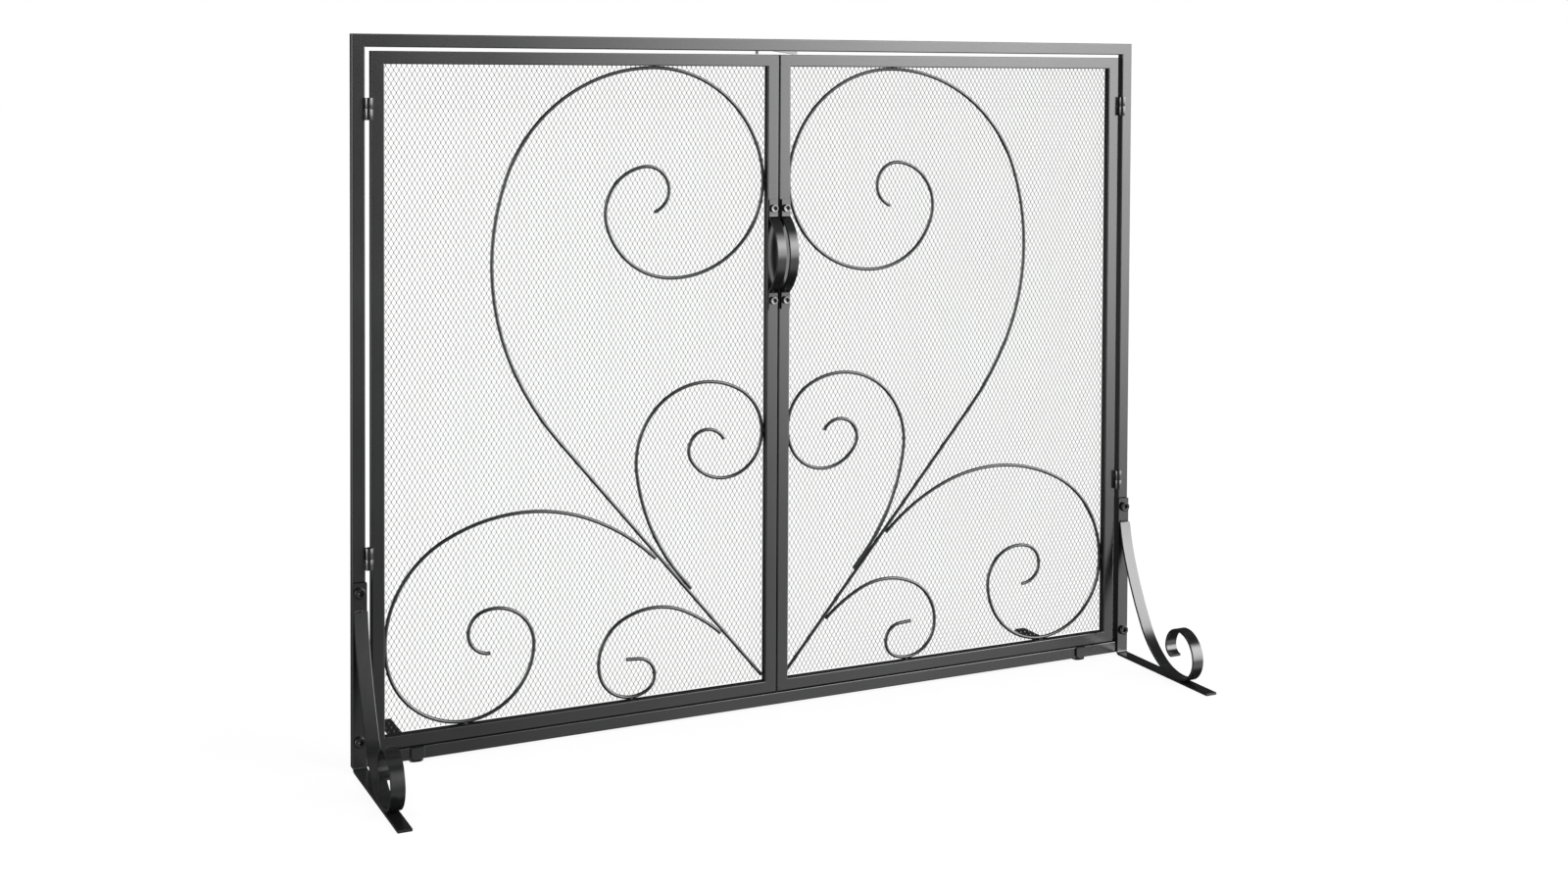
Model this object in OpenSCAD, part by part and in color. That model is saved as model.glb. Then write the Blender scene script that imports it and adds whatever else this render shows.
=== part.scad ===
/* [Screen] */
// Width across the two posts
screen_w = 990; // [900:10:1100]
// Height from the hearth to the top of the frame
screen_h = 787; // [760:1:860]

/* [Square tube] */
// Width of the tube's face
tube_face = 14; // [12:0.5:16]
// Depth of the tube, front to back
tube_depth = 11; // [10:0.5:14]
// Wall of the tube
tube_wall = 1.3; // [1:0.1:2]
// Radius along the tube's edges
tube_edge = 1; // [0.5:0.1:1.2]

/* [Doors] */
// Gap between a post and its door, which the hinge barrels bridge
hinge_gap = 6.5; // [6.5:0.5:9]
// Gap between the two doors
meeting_gap = 1; // [1:0.5:6]
// Gap between the doors and the top rail
top_gap = 4; // [3.5:0.5:8]
// Gap between the doors and the bottom rail
bottom_gap = 1; // [1:0.5:6]

/* [Mesh] */
// Thickness of the expanded sheet
sheet_t = 1.2; // [0.8:0.1:2]
// Spacing of the diamonds across
diamond_w = 22.6; // [20:0.1:30]
// Spacing of the diamonds up
diamond_h = 39.2; // [36:0.1:50]
// Width of a strand between two diamonds
strand_w = 2.2; // [1.5:0.1:3]

/* [Scrolls] */
// Rod of the four scrolls on a door
rod_d = 4; // [4:0.5:5]

/* [Hinges] */
// Outer diameter of a hinge barrel
barrel_d = 9; // [8.5:0.1:9]
// Hinge pin
pin_d = 5; // [4:0.1:5.5]
// Running clearance of the pin in the door's knuckle, all round
pin_play = 0.05; // [0.02:0.01:0.1]
// Length of one knuckle
knuckle_l = 11.7; // [10:0.1:16]
// Height of the lower hinges above the hearth
lower_hinge_z = 216; // [210:1:300]
// Height of the upper hinges above the hearth
upper_hinge_z = 695.5; // [600:0.5:720]

/* [Feet] */
// Width of the flat bar in the feet
bar_w = 15; // [14:0.5:16]
// Thickness of the flat bar
bar_t = 3; // [3:0.5:4]
// Reach of the front feet ahead of the frame
front_reach = 194; // [190:1:220]
// Reach of the rear feet behind the frame's front
rear_reach = 150; // [120:1:200]
// Height of the front brackets
bracket_h = 204; // [200:1:208]
// Distance from a post's outer edge to its rear foot
rear_foot_in = 62; // [40:1:120]

/* [Handles] */
// Height of the handles' middle above the hearth
handle_z = 535.5; // [400:0.5:600]
// Width of the handle strap
strap_w = 11.5; // [10:0.5:13]
// Thickness of the handle strap
strap_t = 3; // [2.5:0.5:3]

/* [Hidden] */
$fn = 48;
// Cutters reach past the faces they cut by the larger one of these, and a mitre by the smaller
over = 1;
e = 0.01;

LEFT = -1;
RIGHT = 1;
steel = [0.16, 0.165, 0.175];
bolt_black = [0.08, 0.08, 0.09];

// The front face of the frame, so that the feet reach as far ahead of the origin as behind it
front_y = (front_reach - rear_reach) / 2;
// The frame stands on the rear feet's bar
frame_z = bar_t;
// Inner edges of the frame's opening
frame_top_in = screen_h - tube_face;
frame_bottom_in = frame_z + tube_face;

// One door, measured from its post's outer edge
door_x0 = tube_face + hinge_gap;
door_x1 = (screen_w - meeting_gap) / 2;
door_w = door_x1 - door_x0;
door_z0 = frame_bottom_in + bottom_gap;
door_z1 = frame_top_in - top_gap;
door_h = door_z1 - door_z0;
open_x0 = door_x0 + tube_face;
open_x1 = door_x1 - tube_face;
open_z0 = door_z0 + tube_face;
open_z1 = door_z1 - tube_face;
open_w = open_x1 - open_x0;

// The mesh lies behind the door's tubes and laps them by this much
mesh_lap = 8;
mesh_rim = 2;

// Hinge axis, measured from a post's outer edge and from the frame's front
hinge_x = tube_face + hinge_gap / 2;
hinge_y = -3.5;
knuckle_gap = 0.3;
leaf_t = 3;
leaf_back = 8;
pin_end = 1;

// Bends in the flat bar: a bracket's own, and a rear foot's, which hugs the tube's edge
bend_r = 2;
hook_r = tube_edge;
bracket_cut = 2.8;

// Bolts and screws
bolt_hole_d = 6.5;
bolt_d = 6;
bolt_head_d = 12;
bolt_head_h = 4;
bolt_x = 7;
bolt_low_z = 32;
bolt_high_z = 192;
screw_d = 4;
screw_head_d = 9;
screw_head_h = 4;
shank_end = 2.5;
head_bevel = 0.09;
socket_w = 0.42;
socket_floor = 0.4;

// ---- Arcs in a plane, walked like a path ----
// A path is a list of [radius, sweep]. A positive sweep turns left, and radius 0 is a straight of that length.
function forward(a) = [cos(a), sin(a)];
function left_of(a) = [-sin(a), cos(a)];
function turned(heading, seg) = seg[0] == 0 ? heading : heading + seg[1];
function arc_point(at, heading, seg, part) =
  seg[0] == 0
    ? at + forward(heading) * seg[1] * part
    : at + sign(seg[1]) * seg[0] * (left_of(heading) - left_of(heading + seg[1] * part));
function arc_steps(seg, step) = seg[0] == 0 ? 1 : ceil(abs(seg[1]) / step);
// Every corner of a path as [point, heading]
function walk(at, heading, segs, step, i = 0) =
  i == len(segs)
    ? [[at, heading]]
    : let (n = arc_steps(segs[i], step))
      concat(
        [for (k = [0 : n - 1]) [
          arc_point(at, heading, segs[i], k / n),
          segs[i][0] == 0 ? heading : heading + segs[i][1] * k / n
        ]],
        walk(arc_point(at, heading, segs[i], 1), turned(heading, segs[i]), segs, step, i + 1)
      );
// Closed outline of a strap that follows a path, with its two faces half a thickness off the middle
function strap_outline(stops, t) = concat(
  [for (s = stops) s[0] + left_of(s[1]) * t / 2],
  [for (k = [len(stops) - 1 : -1 : 0]) stops[k][0] - left_of(stops[k][1]) * t / 2]
);
// Corner of a rounded outline
function corner(x, y, r, from, n = 3) = [
  for (k = [0 : n]) let (a = from + 90 * k / n) [x + r * cos(a), y + r * sin(a)]
];
function rounded(w, d, r) = concat(
  corner(r, r, r, 180), corner(w - r, r, r, 270), corner(w - r, d - r, r, 0), corner(r, d - r, r, 90)
);

// ---- Places ----
// Puts what is drawn from a post's outer edge and the frame's front on the left or right side
module on_side(side) {
  mirror([side == RIGHT ? 1 : 0, 0, 0])
    translate([-screen_w / 2, front_y, 0])
      children();
}
// Stands a plane outline up, so that its Y becomes Z, and gives it depth towards the back from y
module upright(y, depth) {
  translate([0, y + depth, 0])
    rotate([90, 0, 0])
      linear_extrude(depth) children();
}
// Lays an outline of (forward, up) in the side plane, and gives it width from x
module side_profile(x, width) {
  translate([x, 0, 0])
    rotate([90, 0, 90])
      linear_extrude(width) children();
}

// ---- Square tube ----
module tube_section() {
  difference() {
    polygon(rounded(tube_face, tube_depth, tube_edge));
    translate([tube_wall, tube_wall]) square([tube_face - 2 * tube_wall, tube_depth - 2 * tube_wall]);
  }
}
// Cuts a tube's end at 45 degrees; the tube keeps its outer edge at x = 0
module mitre(z, up) {
  translate([0, -e, z])
    mirror([0, 0, up ? 1 : 0])
      rotate([90, 0, 0])
        mirror([0, 0, 1])
          linear_extrude(tube_depth + 2 * e) polygon([
            [0, 0], [tube_face + over, tube_face + over], [tube_face + over, -over], [-over, -over]
          ]);
}
// A tube that stands, with its outer edge at x = 0 and mitred ends
module standing_tube(length) {
  difference() {
    linear_extrude(length) tube_section();
    mitre(0, false);
    mitre(length, true);
  }
}
// A tube that lies, with its outer edge at z = 0 and its ends at x = 0 and x = length
module lying_tube(length) {
  mirror([1, 0, -1]) standing_tube(length);
}

// ---- Frame ----
module post(side) {
  color(steel) on_side(side) difference() {
    translate([0, 0, frame_z]) standing_tube(screen_h - frame_z);
    for (z = [bolt_low_z, bolt_high_z])
      translate([bolt_x, -over, z]) rotate([-90, 0, 0]) cylinder(d = bolt_d, h = tube_wall + 2 * over);
  }
}
module top_rail() {
  color(steel)
    translate([-screen_w / 2, front_y, screen_h]) mirror([0, 0, 1]) lying_tube(screen_w);
}
module bottom_rail() {
  color(steel)
    translate([-screen_w / 2, front_y, frame_z]) lying_tube(screen_w);
}

// ---- Front feet ----
module foot_bracket(side) {
  color(steel) on_side(side) difference() {
    side_profile(0, bar_w)
      polygon(strap_outline(walk([-bar_t / 2, bracket_h], -90, [
        [0, bracket_h - bend_r - bar_t], [bend_r + bar_t / 2, -90], [0, front_reach - bend_r - bar_t]
      ], 15), bar_t));
    for (z = [bolt_low_z, bolt_high_z])
      translate([bolt_x, -bar_t - over, z]) rotate([-90, 0, 0])
        cylinder(d = bolt_hole_d, h = bar_t + 2 * over);
    for (x = [0, bar_w])
      translate([x, -bar_t - over, bracket_h]) rotate([-90, 0, 0])
        cylinder(r = bracket_cut, h = bar_t + 2 * over, $fn = 4);
  }
}

// The strap leaves the bracket near its top, sweeps down to the foot and curls up and back over itself
foot_scroll_top = [-5.2, 172.3];
foot_scroll_path = [
  [247, -11], [445, -11], [109, -27], [71, -44], [27, -79], [32, -91], [24, -83], [12, -87]
];
module foot_scroll(side) {
  color(steel) on_side(side)
    side_profile(0, bar_w)
      polygon(strap_outline(walk(foot_scroll_top, -100, foot_scroll_path, 8), bar_t));
}

// Head with a bevelled edge and a hexagon socket, seated on the plane z = 0 above its shank
module socket_screw(head_d, head_h, shank_d, shank_l) {
  bevel = head_d * head_bevel;
  difference() {
    union() {
      cylinder(d = head_d, h = head_h - bevel);
      translate([0, 0, head_h - bevel]) cylinder(d1 = head_d, d2 = head_d - 2 * bevel, h = bevel);
    }
    translate([0, 0, head_h * socket_floor])
      cylinder(d = head_d * socket_w / cos(30), h = head_h, $fn = 6);
  }
  translate([0, 0, -shank_l]) cylinder(d = shank_d, h = shank_l);
}
module foot_bolts(side) {
  color(bolt_black) on_side(side)
    for (z = [bolt_low_z, bolt_high_z])
      translate([bolt_x, -bar_t, z]) rotate([90, 0, 0])
        socket_screw(bolt_head_d, bolt_head_h, bolt_d, bar_t + tube_wall + shank_end);
}

// ---- Rear feet ----
// A bar hooked over the front of the bottom rail, run under it and out to the back
module rear_foot(side) {
  lip = frame_bottom_in - hook_r - bar_t;
  color(steel) on_side(side)
    side_profile(rear_foot_in, bar_w)
      polygon(strap_outline(walk([-bar_t / 2, frame_bottom_in], -90, [
        [0, lip], [hook_r + bar_t / 2, 90], [0, rear_reach - hook_r]
      ], 15), bar_t));
}

// ---- Hinges ----
module hinge_place(side, z) {
  on_side(side) translate([hinge_x, hinge_y, z]) children();
}
// The lower knuckle, with the leaf that is welded to the post
module frame_knuckle(side, z) {
  color(steel) hinge_place(side, z) difference() {
    union() {
      cylinder(d = barrel_d, h = knuckle_l);
      translate([-hinge_gap / 2, 0, 0]) cube([leaf_t, leaf_back - hinge_y, knuckle_l]);
    }
    translate([0, 0, -over]) cylinder(d = pin_d, h = knuckle_l + 2 * over);
  }
}
// The upper knuckle, with the leaf that is welded to the door's stile
module door_knuckle(side, z) {
  color(steel) hinge_place(side, z + knuckle_l + knuckle_gap) difference() {
    union() {
      cylinder(d = barrel_d, h = knuckle_l);
      translate([hinge_gap / 2 - leaf_t, 0, 0]) cube([leaf_t, leaf_back - hinge_y, knuckle_l]);
    }
    translate([0, 0, -over]) cylinder(d = pin_d + 2 * pin_play, h = knuckle_l + 2 * over);
  }
}
module hinge_pin(side, z) {
  color(steel) hinge_place(side, z)
    cylinder(d = pin_d, h = 2 * knuckle_l + knuckle_gap - pin_end);
}

// ---- Door catch, under the top rail where the doors meet ----
// A wedge slopes down from the rail to a short rest above the doors, and a peg stops the left one
catch_clear = 0.4;
catch_z = door_z1 + catch_clear;
wedge_x = [488, 518];
wedge_y = 1;
wedge_t = 6;
wedge_rest = 3;
peg_x = 468.5;
peg_d = 4;
module catch_leaf() {
  color(bolt_black) translate([-screen_w / 2, front_y, 0])
    upright(wedge_y, wedge_t)
      polygon([
        [wedge_x[0], frame_top_in], [wedge_x[1], frame_top_in],
        [wedge_x[1], catch_z], [wedge_x[1] - wedge_rest, catch_z]
      ]);
}
module catch_peg() {
  color(bolt_black) translate([peg_x - screen_w / 2, front_y + tube_depth / 2, catch_z])
    cylinder(d = peg_d, h = frame_top_in - catch_z);
}

// ---- Doors ----
module hinge_stile(side) {
  color(steel) on_side(side) translate([door_x0, 0, door_z0]) standing_tube(door_h);
}
module meeting_stile(side) {
  color(steel) on_side(side) difference() {
    translate([door_x1, 0, door_z0]) mirror([1, 0, 0]) standing_tube(door_h);
    for (z = screw_heights)
      translate([handle_x, -over, z]) rotate([-90, 0, 0]) cylinder(d = screw_d, h = tube_wall + 2 * over);
  }
}
module door_top_rail(side) {
  color(steel) on_side(side) translate([door_x0, 0, door_z1]) mirror([0, 0, 1]) lying_tube(door_w);
}
module door_bottom_rail(side) {
  color(steel) on_side(side) translate([door_x0, 0, door_z0]) lying_tube(door_w);
}

// Expanded metal: rows of upright diamonds, each row half a diamond aside from the next.
// The rows between are cut off at the sheet's rim, which the door's tubes hide.
module diamond(w, h, cut_x, cut_y) {
  polygon(
    cut_x != 0 ? [[0, -h / 2], [-cut_x * w / 2, 0], [0, h / 2]]
    : cut_y != 0 ? [[-w / 2, 0], [0, -cut_y * h / 2], [w / 2, 0]]
    : [[w / 2, 0], [0, h / 2], [-w / 2, 0], [0, -h / 2]]
  );
}
module mesh(side) {
  w = open_w + 2 * mesh_lap;
  h = open_z1 - open_z0 + 2 * mesh_lap;
  columns = round((w - 2 * mesh_rim) / diamond_w);
  rows = round((h - 2 * mesh_rim) / diamond_h);
  pitch_x = (w - 2 * mesh_rim) / columns;
  pitch_z = (h - 2 * mesh_rim) / rows;
  hole_w = pitch_x - strand_w * 1.15;
  hole_h = pitch_z - strand_w * 2;
  color(steel) on_side(side)
    translate([open_x0 - mesh_lap + mesh_rim, 0, open_z0 - mesh_lap + mesh_rim])
      upright(tube_depth, sheet_t) difference() {
        translate([-mesh_rim, -mesh_rim]) square([w, h]);
        for (i = [0 : columns - 1], j = [0 : rows - 1])
          translate([(i + 0.5) * pitch_x, (j + 0.5) * pitch_z])
            diamond(hole_w, hole_h, 0, 0);
        for (i = [0 : columns], j = [0 : rows])
          if ((i > 0 && i < columns) || (j > 0 && j < rows))
            translate([i * pitch_x, j * pitch_z])
              diamond(
                hole_w, hole_h,
                i == 0 ? -1 : i == columns ? 1 : 0,
                j == 0 ? -1 : j == rows ? 1 : 0
              );
      }
}

// ---- Scrolls ----
// Each scroll starts at a place measured from the opening's lower corner on the meeting side,
// and is a path of arcs that tighten towards its eye. All of them grow with the door's opening.
scroll_scale = open_w / 446;
main_scroll_path = [
  [0, 388.5], [341, -16], [290, -43], [184, -70], [136, -80], [110, -104], [83, -73], [53, -96], [27, -167]
];
heart_scroll_path = [[0, 20], [239, -33], [90, -50], [83.4, -77], [58.4, -85], [47, -125], [23, -183]];
outer_scroll_path = [[0, 5], [244.1, 22], [192.6, 50], [123, 70], [88.7, 77], [77.7, 93], [44.4, 109], [24.2, 164]];
small_scroll_path = [[184.5, 17], [83, 52], [55.3, 73], [38.9, 106], [20.5, 151], [0, 15]];
main_scroll_from = [-1.55, 6.4];
heart_scroll_from = [-90.5, 118.9];
outer_scroll_from = [-134.4, 158.4];
small_scroll_from = [-53.7, 62.4];

rod_sides = 8;
// Flats of the rod's section face the mesh and the tubes that it is welded to
function ring(at, heading, y) = [
  for (k = [0 : rod_sides - 1])
    let (
      a = 360 * (k + 0.5) / rod_sides,
      r = rod_d / 2 / cos(180 / rod_sides),
      q = at + left_of(heading) * r * cos(a)
    )
      [q[0], y + r * sin(a), q[1]]
];
module rod(from, heading, segs) {
  scaled = [for (s = segs) s[0] == 0 ? [0, s[1] * scroll_scale] : [s[0] * scroll_scale, s[1]]];
  start = [open_x1, open_z0] + from * scroll_scale;
  stops = walk(start, heading, scaled, 10);
  n = len(stops);
  y = tube_depth - rod_d / 2;
  polyhedron(
    [for (s = stops) each ring(s[0], s[1], y)],
    concat(
      [[for (k = [0 : rod_sides - 1]) k]],
      [for (i = [0 : n - 2], k = [0 : rod_sides - 1]) let (m = (k + 1) % rod_sides) [
        i * rod_sides + k, (i + 1) * rod_sides + k, (i + 1) * rod_sides + m, i * rod_sides + m
      ]],
      [[for (k = [rod_sides - 1 : -1 : 0]) (n - 1) * rod_sides + k]]
    )
  );
}
module main_scroll(side) {
  color(steel) on_side(side) rod(main_scroll_from, 130, main_scroll_path);
}
module heart_scroll(side) {
  color(steel) on_side(side) rod(heart_scroll_from, 130, heart_scroll_path);
}
module outer_scroll(side) {
  color(steel) on_side(side) rod(outer_scroll_from, 136, outer_scroll_path);
}
module small_scroll(side) {
  color(steel) on_side(side) rod(small_scroll_from, 137, small_scroll_path);
}

// ---- Handles ----
// A strap bowed out in the middle, with a flat tab at each end
tab_l = 21;
bow_l = 87;
bow_rise = 25;
bow_r = (bow_l * bow_l / 4 + bow_rise * bow_rise) / (2 * bow_rise);
bow_half = asin(bow_l / 2 / bow_r);
bow_steps = 8;
handle_off = 0.5;
handle_x = door_x1 - tube_face / 2 - handle_off;
screw_heights = [handle_z - bow_l / 2 - tab_l / 2, handle_z + bow_l / 2 + tab_l / 2];
module handle(side) {
  color(steel) on_side(side) difference() {
    translate([handle_x, 0, handle_z]) side_profile(-strap_w / 2, strap_w) {
      for (up = [-1, 1])
        translate([-strap_t, up * (bow_l + tab_l) / 2 - tab_l / 2]) square([strap_t, tab_l]);
      polygon(concat(
        [for (k = [-bow_steps : bow_steps]) let (a = bow_half * k / bow_steps)
          [bow_r * (cos(bow_half) - cos(a)), bow_r * sin(a)]],
        [for (k = [bow_steps : -1 : -bow_steps]) let (a = bow_half * k / bow_steps)
          [bow_r * cos(bow_half) - (bow_r + strap_t) * cos(a), (bow_r + strap_t) * sin(a)]]
      ));
    }
    for (z = screw_heights)
      translate([handle_x, -strap_t - over, z]) rotate([-90, 0, 0])
        cylinder(d = screw_d, h = strap_t + 2 * over);
  }
}
module handle_screws(side) {
  color(bolt_black) on_side(side)
    for (z = screw_heights)
      translate([handle_x, -strap_t, z]) rotate([90, 0, 0])
        socket_screw(screw_head_d, screw_head_h, screw_d, strap_t + tube_wall + shank_end);
}

post(LEFT);  // left_post
post(RIGHT);  // right_post
top_rail();
bottom_rail();
foot_bracket(LEFT);  // left_foot_bracket
foot_bracket(RIGHT);  // right_foot_bracket
foot_scroll(LEFT);  // left_foot_scroll
foot_scroll(RIGHT);  // right_foot_scroll
foot_bolts(LEFT);  // left_foot_bolts
foot_bolts(RIGHT);  // right_foot_bolts
rear_foot(LEFT);  // left_rear_foot
rear_foot(RIGHT);  // right_rear_foot
frame_knuckle(LEFT, upper_hinge_z);  // left_upper_frame_knuckle
frame_knuckle(LEFT, lower_hinge_z);  // left_lower_frame_knuckle
frame_knuckle(RIGHT, upper_hinge_z);  // right_upper_frame_knuckle
frame_knuckle(RIGHT, lower_hinge_z);  // right_lower_frame_knuckle
hinge_pin(LEFT, upper_hinge_z);  // left_upper_hinge_pin
hinge_pin(LEFT, lower_hinge_z);  // left_lower_hinge_pin
hinge_pin(RIGHT, upper_hinge_z);  // right_upper_hinge_pin
hinge_pin(RIGHT, lower_hinge_z);  // right_lower_hinge_pin
catch_leaf();
catch_peg();
hinge_stile(LEFT);  // left_hinge_stile
meeting_stile(LEFT);  // left_meeting_stile
door_top_rail(LEFT);  // left_door_top_rail
door_bottom_rail(LEFT);  // left_door_bottom_rail
mesh(LEFT);  // left_mesh
main_scroll(LEFT);  // left_main_scroll
heart_scroll(LEFT);  // left_heart_scroll
outer_scroll(LEFT);  // left_outer_scroll
small_scroll(LEFT);  // left_small_scroll
door_knuckle(LEFT, upper_hinge_z);  // left_upper_door_knuckle
door_knuckle(LEFT, lower_hinge_z);  // left_lower_door_knuckle
handle(LEFT);  // left_handle
handle_screws(LEFT);  // left_handle_screws
hinge_stile(RIGHT);  // right_hinge_stile
meeting_stile(RIGHT);  // right_meeting_stile
door_top_rail(RIGHT);  // right_door_top_rail
door_bottom_rail(RIGHT);  // right_door_bottom_rail
mesh(RIGHT);  // right_mesh
main_scroll(RIGHT);  // right_main_scroll
heart_scroll(RIGHT);  // right_heart_scroll
outer_scroll(RIGHT);  // right_outer_scroll
small_scroll(RIGHT);  // right_small_scroll
door_knuckle(RIGHT, upper_hinge_z);  // right_upper_door_knuckle
door_knuckle(RIGHT, lower_hinge_z);  // right_lower_door_knuckle
handle(RIGHT);  // right_handle
handle_screws(RIGHT);  // right_handle_screws
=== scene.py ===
import math

import bmesh
import bpy
from mathutils import Matrix, Vector


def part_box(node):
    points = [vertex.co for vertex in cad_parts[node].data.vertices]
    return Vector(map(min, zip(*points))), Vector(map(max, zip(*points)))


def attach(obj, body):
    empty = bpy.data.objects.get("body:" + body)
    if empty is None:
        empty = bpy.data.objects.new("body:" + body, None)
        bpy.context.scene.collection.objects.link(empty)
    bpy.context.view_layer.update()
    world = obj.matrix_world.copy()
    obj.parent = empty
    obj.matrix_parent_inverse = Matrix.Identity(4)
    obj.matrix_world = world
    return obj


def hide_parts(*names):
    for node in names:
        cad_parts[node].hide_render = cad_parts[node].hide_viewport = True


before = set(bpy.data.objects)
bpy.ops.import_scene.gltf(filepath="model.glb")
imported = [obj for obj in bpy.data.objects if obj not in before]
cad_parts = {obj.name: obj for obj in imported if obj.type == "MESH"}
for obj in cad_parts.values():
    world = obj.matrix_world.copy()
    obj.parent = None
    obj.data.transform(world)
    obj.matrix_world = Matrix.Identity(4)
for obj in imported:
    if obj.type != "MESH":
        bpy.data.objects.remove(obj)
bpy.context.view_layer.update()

MM = 0.001
SIDES = ("left", "right")
MIRROR = {"left": 1, "right": -1}

# ---- Stock sizes, in millimetres, and the places that the frame gives ----
# Roundings: the tube's edges, the flat bar's, the handle strap's, and the bracket's inner bend
TUBE_EDGE = 1.0
BAR_EDGE = 0.45
STRAP_EDGE = 0.5
BEND_R = 2.0
# Round rod, flat bar, hinge leaf, and the play of a hinge pin all round
ROD_D = 4.0
BAR_T = 3.0
LEAF_T = 3.0
PIN_PLAY = 0.05
# Expanded sheet: a diamond, the bonds where strands meet, and the strands, with the sheet's
# thickness and how far a bond leans out of it at each end
DIAMOND_W = 5.65
DIAMOND_H = 9.8
BOND_W = 0.95
BOND_H = 1.35
STRAND_W = 0.36
STRAND_T = 0.5
BOND_TILT = 0.3


def low_high(node):
    """A node's two corners in millimetres."""
    low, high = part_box(node)
    return low / MM, high / MM


frame_low, frame_high = low_high("left_post")
HALF_W = -frame_low.x
FRONT_Y = frame_low.y
TUBE_FACE = frame_high.x - frame_low.x
TUBE_DEPTH = frame_high.y - frame_low.y
stile_low, stile_high = low_high("left_meeting_stile")
DOOR_Z0, DOOR_Z1 = stile_low.z, stile_high.z
OPEN_X1 = stile_low.x
OPEN_X0 = low_high("left_hinge_stile")[1].x
OPEN_Z0 = DOOR_Z0 + TUBE_FACE
OPEN_Z1 = DOOR_Z1 - TUBE_FACE
HINGE_GAP = low_high("left_hinge_stile")[0].x - frame_high.x
SCROLL_SCALE = (OPEN_X1 - OPEN_X0) / 446.0


# ---- Shader maths ----
class Value:
    """A socket in a node tree; arithmetic on it adds Math nodes."""

    def __init__(self, graph, socket):
        self.graph = graph
        self.socket = socket

    def maths(self, operation, *others, first=None):
        start = self if first is None else first
        return self.graph.add("ShaderNodeMath", {"operation": operation}, start, *others)

    def __add__(self, other):
        return self.maths("ADD", other)

    __radd__ = __add__

    def __sub__(self, other):
        return self.maths("SUBTRACT", other)

    def __rsub__(self, other):
        return self.maths("SUBTRACT", self, first=other)

    def __mul__(self, other):
        return self.maths("MULTIPLY", other)

    __rmul__ = __mul__

    def step(self, low, high):
        """0 below low, 1 above high, and smooth between them."""
        return self.graph.add(
            "ShaderNodeMapRange", {"interpolation_type": "SMOOTHSTEP"}, self, low, high, 0.0, 1.0
        )


class Graph:
    """Adds nodes to a material's or world's tree."""

    def __init__(self, tree):
        self.tree = tree
        tree.nodes.clear()

    def add(self, kind, settings=None, *values, **named):
        node = self.tree.nodes.new(kind)
        for key, value in (settings or {}).items():
            setattr(node, key, value)
        for place, value in list(enumerate(values)) + list(named.items()):
            name = place if isinstance(place, int) else place.replace("_", " ")
            socket = node.inputs[name]
            if isinstance(value, Value):
                self.tree.links.new(value.socket, socket)
            elif value is not None:
                socket.default_value = value
        shown = [s for s in node.outputs if s.enabled]
        return Value(self, shown[0]) if shown else None

    def output(self, value, name):
        """Another output of the node that made a value."""
        return Value(self, value.socket.node.outputs[name])


def place_on_piece(graph):
    return graph.output(graph.add("ShaderNodeTexCoord"), "Object")


def noise(graph, place, per_metre, detail):
    return graph.add(
        "ShaderNodeTexNoise", {"noise_dimensions": "3D"}, place, None, per_metre, detail
    )


def mix_colours(graph, factor, first, second):
    node = graph.tree.nodes.new("ShaderNodeMix")
    node.data_type = "RGBA"
    for place, value in ((0, factor), (6, first), (7, second)):
        if isinstance(value, Value):
            graph.tree.links.new(value.socket, node.inputs[place])
        else:
            node.inputs[place].default_value = value
    return Value(graph, node.outputs[2])


DEGREES = 180 / math.pi

# How strongly a finish mirrors, and its darkest and lightest shade
COAT_IOR = 1.8
STEEL_BLACK_IOR = 2.3
DULL_BLACK_IOR = 1.55
FLAT_STOCK_SHADES = ((0.006, 0.0062, 0.0067, 1), (0.011, 0.0114, 0.0121, 1))
ROD_SHADES = ((0.008, 0.0083, 0.0090, 1), (0.016, 0.0165, 0.0175, 1))
MESH_SHADES = ((0.010, 0.0103, 0.0110, 1), (0.020, 0.0205, 0.0220, 1))
WELD_SHADES = ((0.010, 0.0103, 0.0110, 1), (0.018, 0.0185, 0.0195, 1))
FASTENER_SHADES = ((0.006, 0.006, 0.0065, 1), (0.012, 0.012, 0.013, 1))
# Detail of the coat, in lumps to the metre, and the depth of its relief in metres
CLOUDS_PER_METRE = 9.0
GRAINS_PER_METRE = 2600.0
RELIEF = 0.0004


def coat(name, shades, roughness, peel=0.05, peel_size=1.4, ior=COAT_IOR):
    """Powder coat: a faint orange peel, slightly cloudy gloss and a fine grain in the colour."""
    grain = 0.05
    material = bpy.data.materials.new(name)
    material.use_nodes = True
    graph = Graph(material.node_tree)
    place = place_on_piece(graph)
    cloud = noise(graph, place, CLOUDS_PER_METRE, 3.0)
    peel_height = noise(graph, place, 1000.0 / peel_size, 2.0)
    grain_height = noise(graph, place, GRAINS_PER_METRE, 1.0)
    colour = mix_colours(graph, (cloud * 0.7 + grain_height * 0.3).step(0.3, 0.7), *shades)
    gloss = cloud * 0.08 + peel_height * grain + (roughness - 0.04 - grain / 2)
    bump = graph.add(
        "ShaderNodeBump", None, peel, RELIEF, None, peel_height * 0.8 + grain_height * 0.2
    )
    shader = graph.add(
        "ShaderNodeBsdfPrincipled", None,
        Base_Color=colour, Roughness=gloss, Normal=bump, IOR=ior,
    )
    graph.add("ShaderNodeOutputMaterial", None, shader)
    return material


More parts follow.
